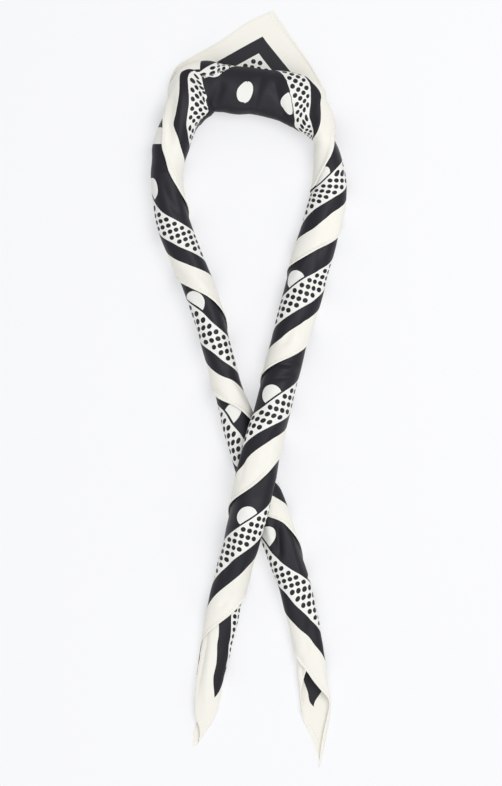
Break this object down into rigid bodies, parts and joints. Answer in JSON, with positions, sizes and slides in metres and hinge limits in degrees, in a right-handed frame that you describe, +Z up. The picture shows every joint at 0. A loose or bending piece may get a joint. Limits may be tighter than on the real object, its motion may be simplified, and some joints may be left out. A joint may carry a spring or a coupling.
{
  "type": "rolled triangle scarf laid flat in a loop",
  "caption": "Lightweight triangle scarf with polka dots and banded borders, rolled to its point and laid flat in a neck loop with crossed tails.",
  "frame": {"origin": "middle of the scarf as laid out, on the surface it lies on", "axes": "+Z up from the surface, +Y towards the nape and its open corner, the tails run to -Y, +X to the right seen from above"},
  "size_m": [0.1422, 0.5513, 0.0324],
  "materials": {
    "scarf_satin": "soft satin weave, ivory ground with black field, dots and border bands"
  },
  "bodies": {
    "root": {"right_tail": "scarf_satin", "cross_under": "scarf_satin", "left_leg": "scarf_satin", "left_shoulder": "scarf_satin", "neck_back": "scarf_satin", "right_shoulder": "scarf_satin", "right_leg": "scarf_satin", "cross_over": "scarf_satin", "left_tail": "scarf_satin", "apex_flap": "scarf_satin"}
  },
  "joints": []
}
